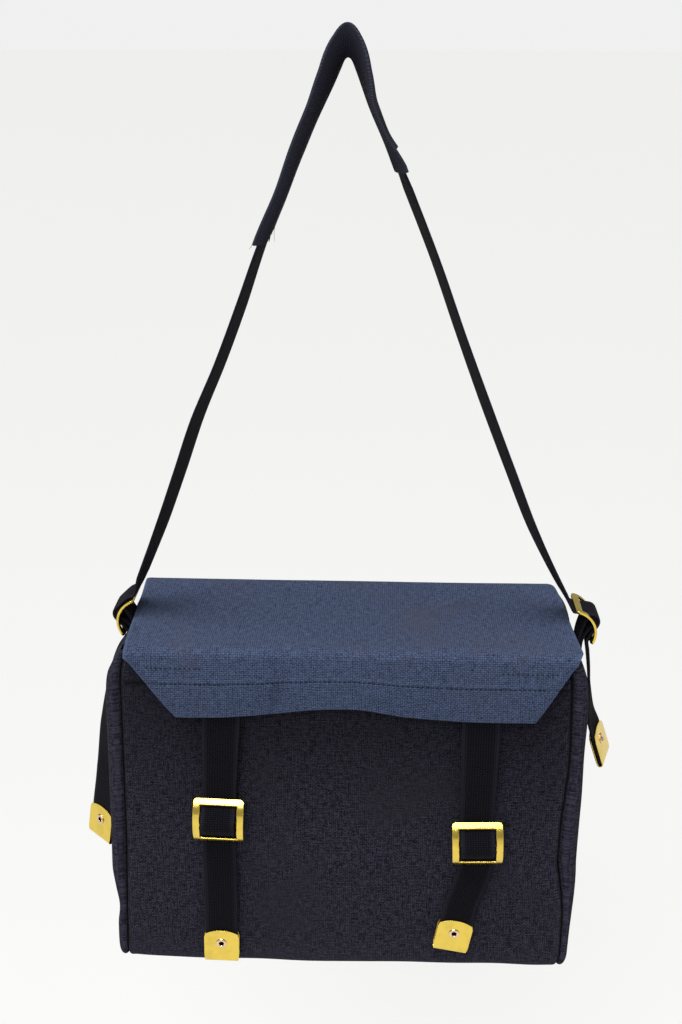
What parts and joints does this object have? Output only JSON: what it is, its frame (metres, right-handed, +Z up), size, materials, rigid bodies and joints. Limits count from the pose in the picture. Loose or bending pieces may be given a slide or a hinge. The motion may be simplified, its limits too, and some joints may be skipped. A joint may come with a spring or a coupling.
{
  "type": "canvas haversack",
  "caption": "Small box-shaped canvas shoulder bag with a buckled front flap, hanging by its webbing shoulder strap.",
  "frame": {"origin": "inner side of the shoulder strap at its top, where it hangs on a hook", "axes": "+Z up, -Y is the bag's front with the buckled flap, +X to the right seen from the front"},
  "size_m": [0.3503, 0.1245, 0.5831],
  "materials": {
    "canvas": "matte woven cotton canvas, near-black navy",
    "flap_canvas": "matte woven cotton canvas, navy",
    "webbing": "matte cotton webbing, near-black navy",
    "brass": "polished"
  },
  "bodies": {
    "root": {"body_panel": "canvas", "gusset_left": "canvas", "gusset_right": "canvas", "flap": "flap_canvas", "shoulder_piece": "webbing", "front_strap_left": "webbing", "front_chape_left": "webbing", "front_buckle_left": "brass", "front_tip_left": "brass", "front_rivet_left": "brass", "strap_left": "webbing", "side_chape_left": "webbing", "side_buckle_left": "brass", "side_tip_left": "brass", "side_rivet_left": "brass", "front_strap_right": "webbing", "front_chape_right": "webbing", "front_buckle_right": "brass", "front_tip_right": "brass", "front_rivet_right": "brass", "strap_right": "webbing", "side_chape_right": "webbing", "side_buckle_right": "brass", "side_tip_right": "brass", "side_rivet_right": "brass"}
  },
  "joints": []
}
